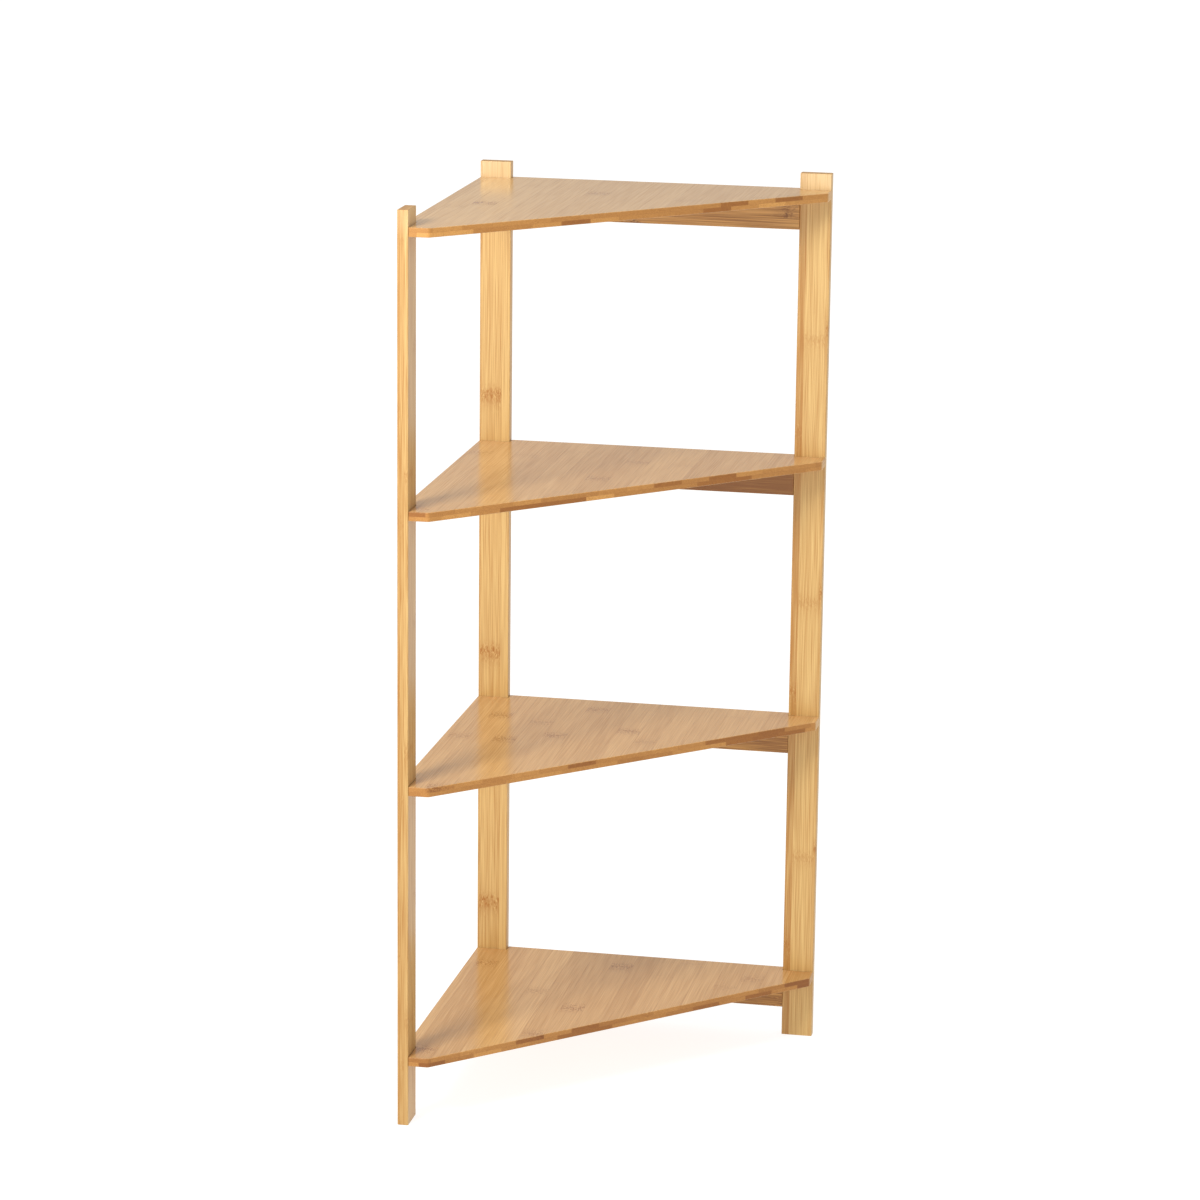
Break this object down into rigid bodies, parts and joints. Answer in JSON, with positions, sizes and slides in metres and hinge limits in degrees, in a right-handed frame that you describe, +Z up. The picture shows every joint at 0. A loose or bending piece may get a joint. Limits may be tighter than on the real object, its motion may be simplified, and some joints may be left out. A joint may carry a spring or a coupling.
{
  "type": "corner shelf unit",
  "caption": "Free-standing corner shelf unit of laminated bamboo: triangular shelves notched round flat posts, with a rail under the back edge of each.",
  "frame": {"origin": "on the floor, in the middle of the square that the unit stands in", "axes": "+Z up, along the posts; +Y towards the back wall, which the corner and right posts stand against; -X towards the side wall, which the corner and left posts stand against"},
  "size_m": [0.396, 0.396, 1],
  "materials": {
    "post_bamboo": "satin varnish over vertical bamboo strips",
    "shelf_bamboo": "semi-gloss varnish over flat bamboo strips, laminated edge",
    "rail_bamboo": "satin varnish over bamboo strips",
    "dowel_wood": "raw beech",
    "screw_steel": "zinc plated"
  },
  "bodies": {
    "root": {"post_left": "post_bamboo", "post_corner": "post_bamboo", "post_right": "post_bamboo", "shelf_top": "shelf_bamboo", "shelf_upper": "shelf_bamboo", "shelf_lower": "shelf_bamboo", "shelf_bottom": "shelf_bamboo", "rail_top": "rail_bamboo", "rail_upper": "rail_bamboo", "rail_lower": "rail_bamboo", "rail_bottom": "rail_bamboo", "screw_left_top_a": "screw_steel", "screw_left_top_b": "screw_steel", "screw_left_upper_a": "screw_steel", "screw_left_upper_b": "screw_steel", "screw_left_lower_a": "screw_steel", "screw_left_lower_b": "screw_steel", "screw_left_bottom_a": "screw_steel", "screw_left_bottom_b": "screw_steel", "screw_corner_top_a": "screw_steel", "screw_corner_top_b": "screw_steel", "screw_corner_upper_a": "screw_steel", "screw_corner_upper_b": "screw_steel", "screw_corner_lower_a": "screw_steel", "screw_corner_lower_b": "screw_steel", "screw_corner_bottom_a": "screw_steel", "screw_corner_bottom_b": "screw_steel", "screw_right_top_a": "screw_steel", "screw_right_top_b": "screw_steel", "screw_right_upper_a": "screw_steel", "screw_right_upper_b": "screw_steel", "screw_right_lower_a": "screw_steel", "screw_right_lower_b": "screw_steel", "screw_right_bottom_a": "screw_steel", "screw_right_bottom_b": "screw_steel", "dowel_corner_top_low": "dowel_wood", "dowel_corner_top_high": "dowel_wood", "dowel_corner_upper_low": "dowel_wood", "dowel_corner_upper_high": "dowel_wood", "dowel_corner_lower_low": "dowel_wood", "dowel_corner_lower_high": "dowel_wood", "dowel_corner_bottom_low": "dowel_wood", "dowel_corner_bottom_high": "dowel_wood", "dowel_right_top_low": "dowel_wood", "dowel_right_top_high": "dowel_wood", "dowel_right_upper_low": "dowel_wood", "dowel_right_upper_high": "dowel_wood", "dowel_right_lower_low": "dowel_wood", "dowel_right_lower_high": "dowel_wood", "dowel_right_bottom_low": "dowel_wood", "dowel_right_bottom_high": "dowel_wood"}
  },
  "joints": []
}
